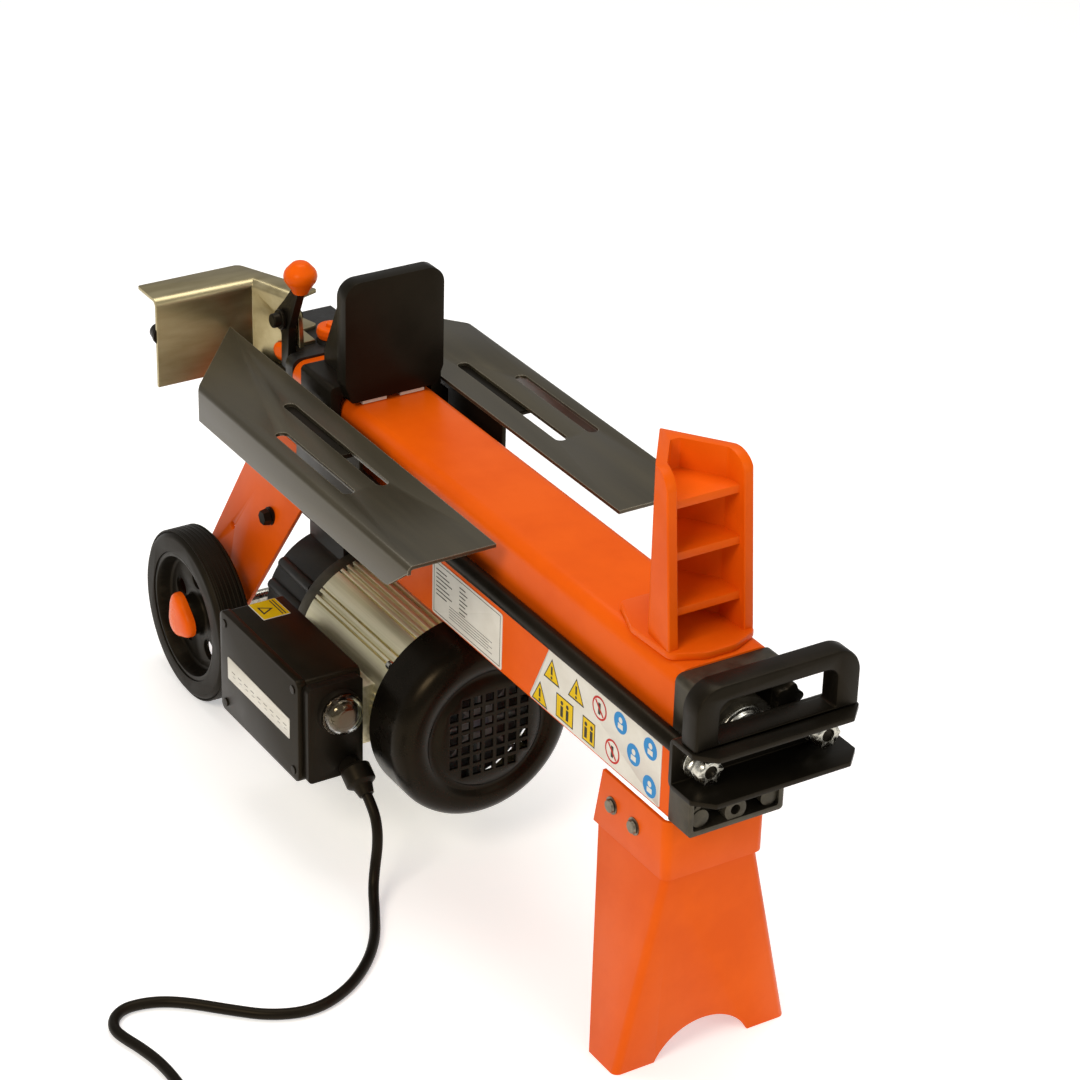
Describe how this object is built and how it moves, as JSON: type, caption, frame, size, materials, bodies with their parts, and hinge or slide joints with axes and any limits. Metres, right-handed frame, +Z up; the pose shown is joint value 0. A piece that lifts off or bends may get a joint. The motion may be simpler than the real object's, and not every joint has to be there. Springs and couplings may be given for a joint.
{
  "type": "log splitter",
  "caption": "Electric hydraulic log splitter: a ram pulls a pusher along an oil-filled beam towards a fixed wedge; legs, wheels, motor and mains lead.",
  "frame": {"origin": "under the middle of the machine, on the floor, measured without the mains cord", "axes": "+X along the beam towards the lifting handle and the front leg, +Z up, the motor's switch box on the -Y side"},
  "size_m": [0.788, 0.6253, 0.466],
  "materials": {
    "orange_paint": "glossy powder coat",
    "black_paint": "satin black paint",
    "bed_paint": "satin dark grey coating, worn by logs",
    "die_cast": "rough die casting",
    "cast_grey": "painted casting",
    "motor_aluminium": "extruded, matt",
    "black_plastic": "moulded, fine grain",
    "glossy_black_plastic": "moulded, slight shine",
    "wheel_plastic": "moulded",
    "tyre_rubber": "hard rubber",
    "orange_plastic": "moulded",
    "zinc": "bright zinc plate",
    "chrome_rod": "hard chrome, ground",
    "plain_steel": "machined",
    "guard_steel": "brushed stainless sheet",
    "laminations": "stacked sheet",
    "guide_plastic": "wear pad",
    "label_white": "printed foil",
    "clear_plastic": "clear dome",
    "button_plastic": "push button",
    "grey_plastic": "moulded",
    "cord_rubber": "smooth rubber sheath"
  },
  "bodies": {
    "frame": {"beam_tube": "orange_paint", "end_cap": "die_cast", "rod_gland": "plain_steel", "wedge_plates": "orange_paint", "wedge_base": "orange_paint", "cylinder_tube": "plain_steel", "rear_head": "cast_grey", "oil_plugs": "orange_plastic", "motor_body": "motor_aluminium", "motor_end_shields": "die_cast", "motor_bearings": "plain_steel", "stator": "laminations", "fan_cover": "glossy_black_plastic", "pump_housing": "cast_grey", "switch_box": "glossy_black_plastic", "switch_box_lid": "glossy_black_plastic", "capacitor": "grey_plastic", "switch_plate": "black_plastic", "button_dome": "clear_plastic", "cable_gland": "black_plastic", "leg_collar": "orange_paint", "front_leg": "orange_paint", "rear_leg_left": "orange_paint", "rear_leg_right": "orange_paint", "wheel_axle": "zinc", "cradle_left": "bed_paint", "cradle_right": "bed_paint", "cradle_brackets": "black_paint", "lever_guard": "guard_steel", "frame_bolts": "zinc", "small_screws": "zinc", "lever_pivot": "black_paint", "labels": "label_white", "power_cord": "cord_rubber", "cord_tail": "cord_rubber", "cord_coil": "cord_rubber", "mains_plug": "black_plastic"},
    "carriage": {"crossbar": "black_paint", "lift_handle": "black_plastic", "tie_rods": "black_paint", "tie_rod_nuts": "zinc", "piston_rod": "chrome_rod", "piston": "plain_steel", "pusher": "black_paint", "pusher_pads": "guide_plastic"},
    "lever": {"control_lever": "black_paint", "lever_knob": "orange_plastic"},
    "spool": {"valve_spool": "plain_steel"},
    "button": {"start_button": "button_plastic"},
    "left_wheel": {"left_tyre": "tyre_rubber", "left_rim": "wheel_plastic", "left_hub_cap": "orange_plastic"},
    "right_wheel": {"right_tyre": "tyre_rubber", "right_rim": "wheel_plastic", "right_hub_cap": "orange_plastic"},
    "rotor": {"rotor": "laminations", "cooling_fan": "grey_plastic", "drive_gear": "plain_steel"},
    "idler": {"driven_gear": "plain_steel"},
    "bleeder": {"bleed_screw": "black_plastic"}
  },
  "joints": [
    {"name": "ram_slide", "type": "slide", "parent": "frame", "child": "carriage", "axis": [1, 0, 0], "range_m": [0, 0.355]},
    {"name": "lever_pivot", "type": "hinge", "parent": "frame", "child": "lever", "pos_m": [-0.274, -0.0175, 0.355], "axis": [0, 1, 0], "range_deg": [0, 20], "stiffness_Nm_per_rad": 1.2},
    {"name": "spool_slide", "type": "slide", "parent": "frame", "child": "spool", "axis": [-1, 0, 0], "range_m": [0, 0.0105]},
    {"name": "start_button_push", "type": "slide", "parent": "frame", "child": "button", "axis": [-1, 0, 0], "range_m": [0, 0.003], "stiffness_N_per_m": 600},
    {"name": "left_wheel_spin", "type": "hinge", "parent": "frame", "child": "left_wheel", "pos_m": [-0.319, -0.0815, 0.075], "axis": [0, 1, 0], "continuous": true},
    {"name": "right_wheel_spin", "type": "hinge", "parent": "frame", "child": "right_wheel", "pos_m": [-0.319, 0.1055, 0.075], "axis": [0, 1, 0], "continuous": true},
    {"name": "motor_spin", "type": "hinge", "parent": "frame", "child": "rotor", "pos_m": [-0.084, -0.0074, 0.127], "axis": [1, 0, 0], "continuous": true},
    {"name": "idler_spin", "type": "hinge", "parent": "frame", "child": "idler", "pos_m": [-0.201, -0.0074, 0.099], "axis": [1, 0, 0], "continuous": true},
    {"name": "bleed_screw_turn", "type": "hinge", "parent": "frame", "child": "bleeder", "pos_m": [0.346, 0.044, 0.306], "axis": [1, 0, 0], "range_deg": [0, 720]}
  ],
  "couplings": [
    {"joint": "spool_slide", "follows": "lever_pivot", "m_per_rad": 0.03},
    {"joint": "idler_spin", "follows": "motor_spin", "ratio": -1}
  ]
}
